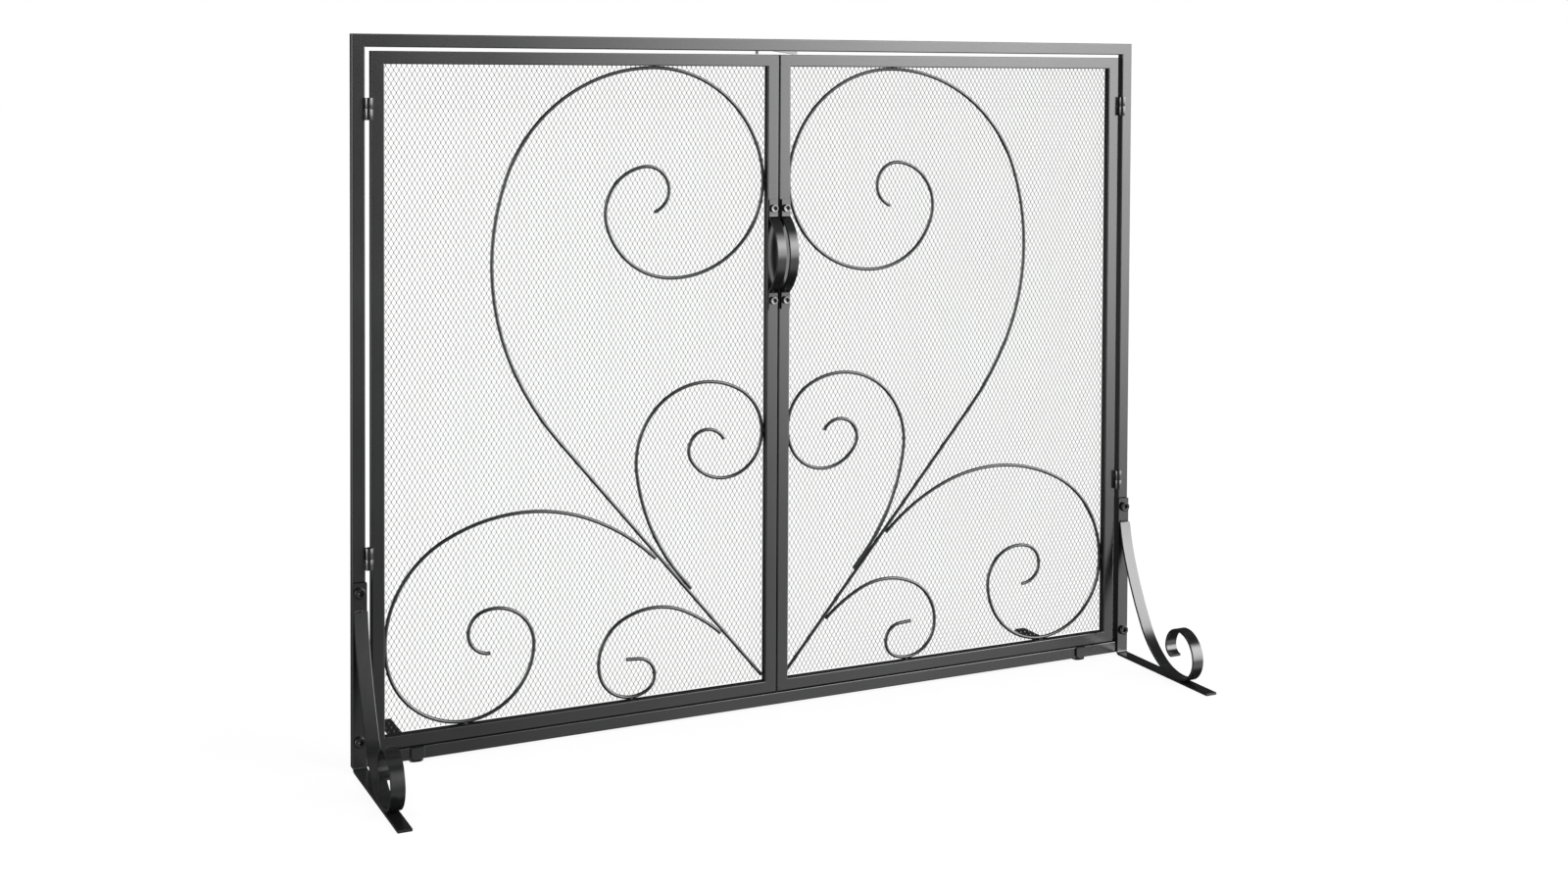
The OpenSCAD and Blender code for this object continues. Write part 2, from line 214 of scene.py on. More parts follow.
tube_finish = coat("tube_finish", FLAT_STOCK_SHADES, 0.21)
rod_finish = coat("rod_finish", ROD_SHADES, 0.24, peel=0.07)
mesh_finish = coat("mesh_finish", MESH_SHADES, 0.32, peel=0.1, peel_size=0.7)
strap_finish = coat("strap_finish", FLAT_STOCK_SHADES, 0.20)
weld_finish = coat("weld_finish", WELD_SHADES, 0.28, peel=0.25, peel_size=2.0)
fastener_finish = coat(
    "fastener_finish", FASTENER_SHADES, 0.18, peel_size=0.5, ior=STEEL_BLACK_IOR
)
bolt_finish = coat("bolt_finish", FASTENER_SHADES, 0.20, peel_size=0.5, ior=DULL_BLACK_IOR)


# ---- Making pieces ----
def new_piece(name, mesh, material, body, *nodes):
    """Links a mesh that is already in place as a piece, in place of the CAD nodes named."""
    piece = bpy.data.objects.new(name, mesh)
    bpy.context.scene.collection.objects.link(piece)
    if not mesh.materials:
        mesh.materials.append(material)
    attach(piece, body)
    if nodes:
        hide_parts(*nodes)


def smooth(mesh, angle=35):
    """Smooth faces with sharp edges kept."""
    mesh.polygons.foreach_set("use_smooth", [True] * len(mesh.polygons))
    mesh.set_sharp_from_angle(angle=math.radians(angle))
    return mesh


def loft(rings, closed=False):
    """A skin over rings that have the same number of points, capped unless it closes on itself."""
    mesh = bpy.data.meshes.new("loft")
    count = len(rings[0])
    points = [p for ring in rings for p in ring]
    faces = []
    for i in range(len(rings) - (0 if closed else 1)):
        j = (i + 1) % len(rings)
        for k in range(count):
            m = (k + 1) % count
            faces.append((i * count + k, i * count + m, j * count + m, j * count + k))
    if not closed:
        faces.append(tuple(reversed(range(count))))
        faces.append(tuple((len(rings) - 1) * count + k for k in range(count)))
    mesh.from_pydata([Vector(p) for p in points], [], faces)
    outward(mesh)
    return mesh


def outward(mesh):
    """Turns a mesh's faces outwards."""
    shape = bmesh.new()
    shape.from_mesh(mesh)
    bmesh.ops.recalc_face_normals(shape, faces=shape.faces)
    shape.to_mesh(mesh)
    shape.free()


def joined(meshes):
    """Several meshes as one."""
    shape = bmesh.new()
    for mesh in meshes:
        shape.from_mesh(mesh)
    whole = bpy.data.meshes.new("joined")
    shape.to_mesh(whole)
    shape.free()
    return whole


def put(mesh, matrix):
    """Moves a mesh that was drawn in millimetres into the frame, in metres."""
    mesh.transform(Matrix.Scale(MM, 4) @ matrix)
    if matrix.determinant() < 0:
        mesh.flip_normals()
    return smooth(mesh)


def on_side(side):
    """From a post's outer edge and the frame's front, on the left or mirrored on the right."""
    flip = Matrix.Scale(MIRROR[side], 4, (1, 0, 0))
    return flip @ Matrix.Translation((-HALF_W, FRONT_Y, 0))


# ---- Arcs in a plane, walked like a path ----
def forward(heading):
    return Vector((math.cos(math.radians(heading)), math.sin(math.radians(heading))))


def left_of(heading):
    return Vector((-math.sin(math.radians(heading)), math.cos(math.radians(heading))))


def walk(at, heading, path, step):
    """Stops (point, heading) along a list of (radius, sweep).

    Where the radius is 0, the sweep is the length of a straight."""
    at = Vector(at)
    stops = []
    for radius, sweep in path:
        if radius == 0:
            stops.append((at.copy(), heading))
            at = at + forward(heading) * sweep
            continue
        parts = math.ceil(abs(sweep) / step)
        side = math.copysign(radius, sweep)
        for k in range(parts):
            turn = heading + sweep * k / parts
            stops.append((at + side * (left_of(heading) - left_of(turn)), turn))
        at = at + side * (left_of(heading) - left_of(heading + sweep))
        heading += sweep
    stops.append((at, heading))
    return stops


# ---- Rectangular tube with mitred ends ----
def rounded_section(width, depth, radius, steps=5):
    """Outline of a rounded rectangle from (0, 0) to (width, depth).

    A point on the flat beside each rounding keeps the flats shaded flat."""
    beside = radius * 0.3
    outline = []
    for x, y, start in (
        (radius, radius, 180), (width - radius, radius, 270),
        (width - radius, depth - radius, 0), (radius, depth - radius, 90),
    ):
        centre = Vector((x, y))
        outline.append(centre + forward(start) * radius - left_of(start) * beside)
        for k in range(steps):
            outline.append(centre + forward(start + 90 * k / (steps - 1)) * radius)
        outline.append(centre + left_of(start) * radius + forward(start) * -beside)
    return [tuple(point) for point in outline]


def mitred_tube(length):
    """A standing tube: outer edge at x = 0, front at y = 0, its ends cut back at 45 degrees."""
    outline = rounded_section(TUBE_FACE, TUBE_DEPTH, TUBE_EDGE)
    rings = []
    for share in (0.0, 0.25, 0.5, 0.75, 1.0):
        rings.append([(x, y, x + (length - 2 * x) * share) for x, y in outline])
    return loft(rings)


AS_DRAWN = Matrix.Identity(4)
LYING = Matrix(((0, 0, 1, 0), (0, 1, 0, 0), (1, 0, 0, 0), (0, 0, 0, 1)))
FLIP_X = Matrix.Scale(-1, 4, (1, 0, 0))
FLIP_Z = Matrix.Scale(-1, 4, (0, 0, 1))


def tube(node, body, lying=False, inward=1):
    """A tube in place of a CAD tube; inward says on which side its inner edge is."""
    low, high = low_high(node)
    length = (high.x - low.x) if lying else (high.z - low.z)
    if lying:
        turn = LYING if inward > 0 else FLIP_Z @ LYING
        corner = (low.x, low.y, low.z if inward > 0 else high.z)
    else:
        turn = AS_DRAWN if inward > 0 else FLIP_X
        corner = (low.x if inward > 0 else high.x, low.y, low.z)
    mesh = put(mitred_tube(length), Matrix.Translation(corner) @ turn)
    new_piece(node + "_tube", mesh, tube_finish, body, node)


def make_frame():
    tube("left_post", "frame")
    tube("right_post", "frame", inward=-1)
    tube("bottom_rail", "frame", lying=True)
    tube("top_rail", "frame", lying=True, inward=-1)


def make_door_tubes(side):
    body = side + "_door"
    near = MIRROR[side]
    tube(side + "_hinge_stile", body, inward=near)
    tube(side + "_meeting_stile", body, inward=-near)
    tube(side + "_door_bottom_rail", body, lying=True)
    tube(side + "_door_top_rail", body, lying=True, inward=-1)


# ---- Geometry Nodes ----
def geometry_tree(name, inputs):
    """An empty tree with a geometry input, named inputs and a geometry output."""
    tree = bpy.data.node_groups.new(name, "GeometryNodeTree")
    tree.interface.new_socket("Geometry", in_out="INPUT", socket_type="NodeSocketGeometry")
    sockets = {}
    for label, kind in inputs:
        socket = tree.interface.new_socket(label, in_out="INPUT", socket_type=kind)
        sockets[label] = socket.identifier
    tree.interface.new_socket("Geometry", in_out="OUTPUT", socket_type="NodeSocketGeometry")
    start = tree.nodes.new("NodeGroupInput")
    end = tree.nodes.new("NodeGroupOutput")
    return tree, sockets, start, end


def joint(tree, kind, settings=None, **links):
    """Adds a geometry node and wires or sets its inputs by name."""
    node = tree.nodes.new(kind)
    for key, value in (settings or {}).items():
        setattr(node, key, value)
    for key, value in links.items():
        socket = node.inputs[key.replace("_", " ")]
        if isinstance(value, bpy.types.NodeSocket):
            tree.links.new(value, socket)
        else:
            socket.default_value = value
    return node


def rod_tree():
    """Round rod along a path of edges: a circle swept along it, with filled ends."""
    tree, sockets, start, end = geometry_tree(
        "round_rod",
        (
            ("Rod radius", "NodeSocketFloat"), ("Sides", "NodeSocketInt"),
            ("Coat", "NodeSocketMaterial"),
        ),
    )
    path = joint(tree, "GeometryNodeMeshToCurve", Mesh=start.outputs["Geometry"])
    circle = joint(
        tree, "GeometryNodeCurvePrimitiveCircle", {"mode": "RADIUS"},
        Resolution=start.outputs["Sides"], Radius=start.outputs["Rod radius"],
    )
    swept = joint(
        tree, "GeometryNodeCurveToMesh",
        Curve=path.outputs[0], Profile_Curve=circle.outputs[0], Fill_Caps=True,
    )
    real = joint(tree, "GeometryNodeRealizeInstances", Geometry=swept.outputs[0])
    coated = joint(
        tree, "GeometryNodeSetMaterial", Geometry=real.outputs[0], Material=start.outputs["Coat"]
    )
    tree.links.new(coated.outputs[0], end.inputs[0])
    return tree, sockets


def repeat_tree():
    """A small shape repeated at every point, made real and joined where it meets itself."""
    tree, sockets, start, end = geometry_tree(
        "repeated_shape",
        (
            ("Shape", "NodeSocketObject"), ("Merge distance", "NodeSocketFloat"),
            ("Coat", "NodeSocketMaterial"),
        ),
    )
    shape = joint(tree, "GeometryNodeObjectInfo", Object=start.outputs["Shape"])
    placed = joint(
        tree, "GeometryNodeInstanceOnPoints",
        Points=start.outputs["Geometry"], Instance=shape.outputs["Geometry"],
    )
    real = joint(tree, "GeometryNodeRealizeInstances", Geometry=placed.outputs[0])
    merged = joint(
        tree, "GeometryNodeMergeByDistance",
        Geometry=real.outputs[0], Distance=start.outputs["Merge distance"],
    )
    coated = joint(
        tree, "GeometryNodeSetMaterial", Geometry=merged.outputs[0], Material=start.outputs["Coat"]
    )
    tree.links.new(coated.outputs[0], end.inputs[0])
    return tree, sockets


def grown(source, tree_and_sockets, **values):
    """The plain mesh that a tree makes of a source mesh."""
    tree, sockets = tree_and_sockets
    holder = bpy.data.objects.new("holder", source)
    bpy.context.scene.collection.objects.link(holder)
    modifier = holder.modifiers.new("grow", "NODES")
    modifier.node_group = tree
    for label, value in values.items():
        modifier[sockets[label.replace("_", " ")]] = value
    bpy.context.view_layer.update()
    graph = bpy.context.evaluated_depsgraph_get()
    mesh = bpy.data.meshes.new_from_object(holder.evaluated_get(graph), depsgraph=graph)
    holder.modifiers.remove(modifier)
    bpy.data.objects.remove(holder)
    return mesh


ROUND_ROD = rod_tree()
REPEATED = repeat_tree()


def path_mesh(points):
    mesh = bpy.data.meshes.new("path")
    mesh.from_pydata(points, [(k, k + 1) for k in range(len(points) - 1)], [])
    return mesh


# ---- Scrolls ----
ROD_SIDES = 20
# Start from the opening's lower corner on the meeting side, heading, and arcs as (radius, sweep)
SCROLLS = {
    "main": ((-1.55, 6.4), 130, (
        (0, 388.5), (341, -16), (290, -43), (184, -70), (136, -80),
        (110, -104), (83, -73), (53, -96), (27, -167),
    )),
    "heart": ((-90.5, 118.9), 130, (
        (0, 20), (239, -33), (90, -50), (83.4, -77), (58.4, -85), (47, -125), (23, -183),
    )),
    "outer": ((-134.4, 158.4), 136, (
        (0, 5), (244.1, 22), (192.6, 50), (123, 70),
        (88.7, 77), (77.7, 93), (44.4, 109), (24.2, 164),
    )),
    "small": ((-53.7, 62.4), 137, (
        (184.5, 17), (83, 52), (55.3, 73), (38.9, 106), (20.5, 151), (0, 15),
    )),
}


def scroll_stops(name, step=4.0):
    start, heading, path = SCROLLS[name]
    path = [(r * SCROLL_SCALE, s if r else s * SCROLL_SCALE) for r, s in path]
    corner = Vector((OPEN_X1, OPEN_Z0)) + Vector(start) * SCROLL_SCALE
    return walk(corner, heading, path, step)


def make_scroll(side, name):
    flip = MIRROR[side]
    y = FRONT_Y + TUBE_DEPTH - ROD_D / 2
    points = [(flip * at.x * MM, y * MM, at.y * MM) for at, _ in scroll_stops(name)]
    mesh = grown(
        path_mesh(points), ROUND_ROD, Rod_radius=ROD_D / 2 * MM, Sides=ROD_SIDES, Coat=rod_finish
    )
    outward(mesh)
    smooth(mesh, 50)
    new_piece(f"{side}_{name}_rod", mesh, rod_finish, side + "_door", f"{side}_{name}_scroll")


# ---- Expanded mesh ----
MERGE_DISTANCE = 0.00002


def mesh_cell():
    """One repeat of the expanded sheet, open where the next goes on: two bonds, four strands."""
    columns = DIAMOND_W / 2
    rows = DIAMOND_H / 2
    # A bond's outline: foot from left to right, right waist, head from right to left, left waist
    outline = (
        (-STRAND_W, -1), (0, -1), (STRAND_W, -1), (BOND_W / 2, 0),
        (STRAND_W, 1), (0, 1), (-STRAND_W, 1), (-BOND_W / 2, 0),
    )

    def bond(column, row):
        """Eight points in front, then the same eight at the back."""
        return [
            (column * columns + x, y + z * BOND_TILT, row * rows + z * BOND_H / 2)
            for y in (-STRAND_T / 2, STRAND_T / 2) for x, z in outline
        ]

    points, faces = [], []

    def face(*corners):
        faces.append(tuple(range(len(points), len(points) + len(corners))))
        points.extend(corners)

    for place in ((0, 0), (1, 1)):
        b = bond(*place)
        face(*b[:8])
        face(*reversed(b[8:]))
        for k in (2, 3, 6, 7):
            m = (k + 1) % 8
            face(b[k], b[k + 8], b[m + 8], b[m])
    strands = (
        ((0, 0), (1, 1), 1), ((0, 0), (-1, 1), -1), ((1, 1), (0, 2), -1), ((1, 1), (2, 2), 1),
    )
    for start, end, lean in strands:
        a, b = bond(*start), bond(*end)
        if lean > 0:
            foot = (a[5], a[4], a[12], a[13])
            head = (b[0], b[1], b[9], b[8])
        else:
            foot = (a[6], a[5], a[13], a[14])
            head = (b[1], b[2], b[10], b[9])
        for k in range(4):
            m = (k + 1) % 4
            face(foot[k], foot[m], head[m], head[k])
    mesh = bpy.data.meshes.new("mesh_cell")
    mesh.from_pydata([Vector(p) * MM for p in points], [], faces)
    return mesh


def points_mesh(places):
    mesh = bpy.data.meshes.new("places")
    mesh.from_pydata(places, [], [])
    return mesh


def make_mesh(side, cell):
    """Real diamonds over the door's back, in three parts of one sheet."""
    low, high = low_high(side + "_mesh")
    across = round((high.x - low.x) / DIAMOND_W) - 1
    up = round((high.z - low.z) / DIAMOND_H) - 1
    x0 = (low.x + high.x) / 2 - (across - 0.5) * DIAMOND_W / 2
    z0 = (low.z + high.z) / 2 - (up - 0.5) * DIAMOND_H / 2
    y = low.y + STRAND_T / 2 + BOND_TILT
    third = up // 3 + 1
    for part, start in (("lower", 0), ("middle", third), ("upper", 2 * third)):
        places = [
            ((x0 + i * DIAMOND_W) * MM, y * MM, (z0 + j * DIAMOND_H) * MM)
            for i in range(across) for j in range(start, min(start + third, up))
        ]
        mesh = grown(
            points_mesh(places), REPEATED,
            Shape=cell, Merge_distance=MERGE_DISTANCE, Coat=mesh_finish,
        )
        outward(mesh)
        new_piece(f"{side}_mesh_{part}", mesh, mesh_finish, side + "_door", side + "_mesh")


# ---- Flat bar ----
def flat_bar(at, heading, path, width, step, edge=BAR_EDGE):
    """Flat bar with rounded edges, bent along a path in its side plane; its width runs along x."""
    outline = rounded_section(width, BAR_T, edge, 3)
    rings = []
    for stop, way in walk(at, heading, path, step):
        side = left_of(way)
        rings.append([
            (x, stop.x + side.x * (y - BAR_T / 2), stop.y + side.y * (y - BAR_T / 2))
            for x, y in outline
        ])
    return loft(rings)


# Where the foot scroll starts on the bracket (y, z), its heading, and its arcs as (radius, sweep)
FOOT_SCROLL_AT = (-5.2, 172.3)
FOOT_SCROLL_HEADING = -100
FOOT_SCROLL = (
    (247, -11), (445, -11), (109, -27), (71, -44), (27, -79), (32, -91), (24, -83), (12, -87),
)


BRACKET_ROUNDING = 3.0


def make_front_foot(side):
    low, high = low_high(side + "_foot_bracket")
    height = high.z
    reach = FRONT_Y - low.y
    width = high.x - low.x
    path = ((0, height - BEND_R - BAR_T), (BEND_R + BAR_T / 2, -90), (0, reach - BEND_R - BAR_T))
    bracket = flat_bar((-BAR_T / 2, height), -90, path, width, 10)
    round_top(bracket, width, height, BRACKET_ROUNDING)
    new_piece(
        side + "_foot_bracket_bar", put(bracket, on_side(side)),
        strap_finish, "frame", side + "_foot_bracket",
    )
    curl = flat_bar(FOOT_SCROLL_AT, FOOT_SCROLL_HEADING, FOOT_SCROLL, width, 4.0)
    new_piece(
        side + "_foot_scroll_strap", put(curl, on_side(side)),
        strap_finish, "frame", side + "_foot_scroll",
    )


def round_top(mesh, width, height, radius):
    """Rounds the two corners at a bar's top by pulling the outer points of its end ring down."""
    for vertex in mesh.vertices:
        if vertex.co.z > height - 0.01:
            off = abs(vertex.co.x - width / 2) - (width / 2 - radius)
            if off > 0:
                vertex.co.z -= radius - math.sqrt(max(radius * radius - off * off, 0.0))


LIP_ROUNDING = 3.5
LIP_TOP_ROUNDING = 1.5


def make_rear_foot(side):
    """A strip under the screen, its lip turned up before the rail and rounded at its corners."""
    low, high = low_high(side + "_rear_foot")
    bend = TUBE_EDGE
    width = high.x - low.x
    reach = high.y - FRONT_Y
    x0 = (low.x if side == "left" else -high.x) + HALF_W
    steps = 6
    fine = ((0, LIP_ROUNDING / steps),) * steps
    bent = bend + BAR_T
    path = ((0, high.z - bent - LIP_ROUNDING),) + fine + ((bend + BAR_T / 2, 90),) + fine
    path += ((0, reach - bend - LIP_ROUNDING),)
    bar = flat_bar((-BAR_T / 2, high.z), -90, path, width, 10)
    round_top(bar, width, high.z, LIP_TOP_ROUNDING)
    for vertex in bar.vertices:
        beyond = max(vertex.co.z - bent, vertex.co.y - bend, 0.0)
        if beyond < LIP_ROUNDING:
            short = LIP_ROUNDING - beyond
            narrow = LIP_ROUNDING - math.sqrt(LIP_ROUNDING ** 2 - short ** 2)
            vertex.co.x = width / 2 + (vertex.co.x - width / 2) * (1 - 2 * narrow / width)
    place = on_side(side) @ Matrix.Translation((x0, 0, 0))
    new_piece(side + "_rear_foot_bar", put(bar, place), strap_finish, "frame", side + "_rear_foot")


# ---- Turned pieces ----
SCREW_SIDES = 48
BARREL_SIDES = 64
PIN_SIDES = 32


def turned(profile, sides):
    """Rings of a turned piece from a list of (radius, height)."""
    return [
        [
            (r * math.cos(2 * math.pi * k / sides), r * math.sin(2 * math.pi * k / sides), z)
            for k in range(sides)
        ]
        for r, z in profile
    ]


def hexagon(across, z):
    """A hexagon as a ring of as many points as a screw's turned rings have."""
    ring = []
    for k in range(SCREW_SIDES):
        turn = 2 * math.pi * k / SCREW_SIDES
        off = (turn + math.pi / 6) % (math.pi / 3) - math.pi / 6
        r = across / 2 / math.cos(off)
        ring.append((r * math.cos(turn), r * math.sin(turn), z))
    return ring


def socket_screw(head_d, head_h, rounding, socket, depth, shank_d, shank_l):
    """Cap head with a rounded crown edge and a hexagon socket; its seat at z = 0, its crown up."""
    profile = [(shank_d / 2 - 0.4, -shank_l), (shank_d / 2, 0.4 - shank_l), (shank_d / 2, 0)]
    profile += [(head_d / 2 - 0.2, 0), (head_d / 2, 0.2), (head_d / 2, head_h - rounding - 0.1)]
    steps = 5
    for k in range(steps + 1):
        turn = math.radians(90 * k / steps)
        profile.append((
            head_d / 2 - rounding + rounding * math.cos(turn),
            head_h - rounding + rounding * math.sin(turn),
        ))
    profile.append((head_d / 2 - rounding - 0.1, head_h))
    rings = turned(profile, SCREW_SIDES)
    floor = head_h - depth
    for across, z in (
        (socket + 0.3, head_h), (socket + 0.1, head_h - 0.02), (socket, head_h - 0.12),
        (socket, floor + 0.05), (socket - 0.1, floor),
    ):
        rings.append(hexagon(across, z))
    return loft(rings + turned([(0.9, floor), (0.1, floor - 0.4)], SCREW_SIDES))


def facing_room(x, y, z):
    """Turns what points up to point at the room, at a place from the post's edge and the front."""
    return Matrix.Translation((x, y, z)) @ Matrix.Rotation(math.radians(90), 4, "X")


def make_pair(side, node, piece, finish, body, **sizes):
    """The two screws of one node, their heads against the face of a bar."""
    low, high = low_high(node)
    head_d = high.x - low.x
    x = (low.x + high.x) / 2 * MIRROR[side] + HALF_W
    screw = socket_screw(head_d, **sizes)
    meshes = [
        put(screw.copy(), on_side(side) @ facing_room(x, -BAR_T, z))
        for z in (low.z + head_d / 2, high.z - head_d / 2)
    ]
    new_piece(piece, smooth(joined(meshes), 30), finish, body, node)


def make_bolts(side):
    make_pair(
        side, side + "_foot_bolts", side + "_foot_bolt_pair", bolt_finish, "frame",
        head_h=4.0, rounding=0.9, socket=5.0, depth=3.1, shank_d=6.0, shank_l=6.8,
    )


def make_screws(side):
    make_pair(
        side, side + "_handle_screws", side + "_handle_screw_pair", fastener_finish, side + "_door",
        head_h=4.0, rounding=0.35, socket=4.4, depth=3.2, shank_d=4.0, shank_l=6.8,
    )


# ---- Handles ----
# The bow's length and rise, and the radius of the two knees beside it
BOW_L = 87.0
BOW_RISE = 25.0
KNEE_R = 4.0


def make_handle(side):
    low, high = low_high(side + "_handle")
    width = high.x - low.x
    x0 = (low.x if side == "left" else -high.x) + HALF_W
    radius = (BOW_L * BOW_L / 4 + BOW_RISE * BOW_RISE) / (2 * BOW_RISE)
    lean = math.degrees(math.acos((radius - BOW_RISE + KNEE_R) / (radius + KNEE_R)))
    straight = (high.z - low.z) / 2 - (radius + KNEE_R) * math.sin(math.radians(lean))
    path = ((0, straight), (KNEE_R, lean), (radius, -2 * lean), (KNEE_R, lean), (0, straight))
    bar = flat_bar((-BAR_T / 2, low.z), 90, path, width, 4, STRAP_EDGE)
    place = on_side(side) @ Matrix.Translation((x0, 0, 0))
    new_piece(
        side + "_handle_strap", put(bar, place), strap_finish, side + "_door", side + "_handle"
    )


# ---- Hinges ----
BARREL_CHAMFER = 0.35
# How far each leaf stops short of its barrel's top
LEAF_SHORT = {"frame": 0.2, "door": 2.6}


def make_knuckle(side, level, part):
    """A barrel with the leaf that is welded to the post or to the door's stile."""
    node = f"{side}_{level}_{part}_knuckle"
    low, high = low_high(node)
    length = high.z - low.z
    pin_low, pin_high = low_high(f"{side}_{level}_hinge_pin")
    axis_x, axis_y = (pin_low.x + pin_high.x) / 2, (pin_low.y + pin_high.y) / 2
    outer = axis_y - low.y
    bore = (pin_high.x - pin_low.x) / 2 + (PIN_PLAY if part == "door" else 0.0)
    inset = outer - BARREL_CHAMFER
    profile = [(bore, 0), (inset - 0.2, 0), (inset, 0), (outer - 0.1, BARREL_CHAMFER * 0.4)]
    profile += [(outer, BARREL_CHAMFER), (outer, length / 2)]
    profile += [(r, length - z) for r, z in reversed(profile[:-1])]
    barrel = loft(turned(profile, BARREL_SIDES), closed=True)
    barrel.transform(Matrix.Translation((axis_x, axis_y, low.z)))
    leaf_side = 1 if (part == "door") == (side == "left") else -1
    x0, x1 = sorted((
        axis_x + leaf_side * HINGE_GAP / 2, axis_x + leaf_side * (HINGE_GAP / 2 - LEAF_T)
    ))
    behind_bore = axis_y + bore + 0.3
    leaf_outline = rounded_section(x1 - x0, high.y - behind_bore, 0.4, 3)
    rings = [
        [(x0 + x, behind_bore + y, low.z + z) for x, y in leaf_outline]
        for z in (0.2, length - LEAF_SHORT[part])
    ]
    body = "frame" if part == "frame" else side + "_door"
    whole = joined([barrel, loft(rings)])
    new_piece(node + "_barrel", put(whole, AS_DRAWN), tube_finish, body, node)


def make_pin(side, level):
    node = f"{side}_{level}_hinge_pin"
    low, high = low_high(node)
    r = (high.x - low.x) / 2
    profile = [(r - 0.4, 0), (r, 0.4), (r, high.z - low.z - 0.5), (r - 0.5, high.z - low.z)]
    mesh = loft(turned(profile, PIN_SIDES))
    place = Matrix.Translation(((low.x + high.x) / 2, (low.y + high.y) / 2, low.z))
    new_piece(node + "_turned", put(mesh, place), fastener_finish, "frame", node)


# ---- Welds ----
def bead(start, end, radius, ripple, seed):
    """A short weld bead between two places, lumpy along its length and round at its ends."""
    start, end = Vector(start), Vector(end)
    along = (end - start).normalized()
    aside = along.orthogonal().normalized()
    above = along.cross(aside)
    length = (end - start).length
    count = max(6, round(length / radius * 3))
    rings = []
    for k in range(count + 1):
        share = k / count
        swell = math.sqrt(max(1 - (2 * share - 1) ** 4, 0.02))
        size = radius * swell * (1 + ripple * math.sin(seed + share * length / radius * 4.0))
        middle = start.lerp(end, share)
        rings.append([
            middle + (aside * math.cos(math.radians(turn)) + above * math.sin(math.radians(turn)))
            * size * (1 + ripple * math.sin(3 * math.radians(turn) + seed + 2.3 * k))
            for turn in range(0, 360, 36)
        ])
    return loft(rings)


def least(distances, reach):
    """Where a row of distances has a low point within reach."""
    places = []
    for k, distance in enumerate(distances):
        before = distances[k - 1] if k else math.inf
        after = distances[k + 1] if k + 1 < len(distances) else math.inf
        if distance < reach and distance <= before and distance < after:
            places.append(k)
    return places


def rod_touches():
    """Where the left door's rods touch its tubes or one another.

    Each touch is (place, way along the rod, way across)."""
    walks = {name: scroll_stops(name, 1.0) for name in SCROLLS}
    edges = (
        (Vector((-1, 0)), -OPEN_X0), (Vector((1, 0)), OPEN_X1),
        (Vector((0, -1)), -OPEN_Z0), (Vector((0, 1)), OPEN_Z1),
    )
    touches = []
    for name, stops in walks.items():
        for out, limit in edges:
            for k in least([limit - at.dot(out) for at, _ in stops], ROD_D / 2 + 0.5):
                touches.append((stops[k][0], forward(stops[k][1]), out))
    names = list(walks)
    for i, first in enumerate(names):
        for second in names[i + 1:]:
            near = [
                min((other - at for other, _ in walks[second]), key=lambda way: way.length)
                for at, _ in walks[first]
            ]
            for k in least([way.length for way in near], ROD_D + 0.5):
                at, heading = walks[first][k]
                touches.append((at, forward(heading), near[k].normalized()))
    return touches


def make_rod_welds(side):
    """A bead in the groove at every touch, just behind the front of the rods."""
    flip = MIRROR[side]
    y = FRONT_Y + TUBE_DEPTH - ROD_D + 0.6
    beads = []
    for k, (at, along, out) in enumerate(rod_touches()):
        middle = at + out * (ROD_D / 2 - 0.2)
        half = 2.6 + 0.9 * math.sin(5.0 * k)
        ends = [middle + along * half, middle - along * half]
        beads.append(bead(*((flip * end.x, y, end.y) for end in ends), 0.95, 0.2, k))
    new_piece(side + "_rod_welds", put(joined(beads), AS_DRAWN), weld_finish, side + "_door")


def make_foot_welds(side):
    """The weld over the foot scroll's top: a lump at each corner and a rough line between them."""
    low, high = low_high(side + "_foot_scroll")
    width = high.x - low.x
    z = high.z
    y = -BAR_T - 0.6
    size = 1.0 if side == "left" else 0.5
    beads = [
        bead((1.6, y, z + 0.5), (width - 1.6, y, z + 0.2), 1.5 * size, 0.26, 1.0),
        bead((1.7, y - 0.5, z + 0.9), (1.8, y - 1.7, z - 7.0), 1.25 * size, 0.2, 2.0),
        bead(
            (width - 4.0, y - 0.6, z + 1.9), (width - 1.9, y - 1.2, z - 4.0), 1.3 * size, 0.24, 3.0
        ),
    ]
    new_piece(side + "_foot_welds", put(joined(beads), on_side(side)), weld_finish, "frame")


def make_hinge_welds(side, level):
    """Fillets between each barrel's leaf and the tube that it is welded to."""
    pin_low, pin_high = low_high(f"{side}_{level}_hinge_pin")
    out = MIRROR[side]
    axis_x = (pin_low.x + pin_high.x) / 2
    for part, away, body in (("frame", -out, "frame"), ("door", out, side + "_door")):
        low, high = low_high(f"{side}_{level}_{part}_knuckle")
        x = axis_x + away * (HINGE_GAP / 2 + 0.9)
        y = FRONT_Y - 0.2
        fillet = bead((x, y, low.z + 0.8), (x, y, high.z - 0.8), 0.75, 0.18, low.z)
        new_piece(f"{side}_{level}_{part}_hinge_weld", put(fillet, AS_DRAWN), weld_finish, body)


# ---- Catch ----
def make_catch():
    for node in ("catch_leaf", "catch_peg"):
        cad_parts[node].data.materials.clear()
        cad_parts[node].data.materials.append(fastener_finish)


# ---- Stage, light and camera ----
FLOOR_REACH = 30
FLOOR_SHADE = (0.12, 0.12, 0.12, 1)
FLOOR_GLOW = 0.91


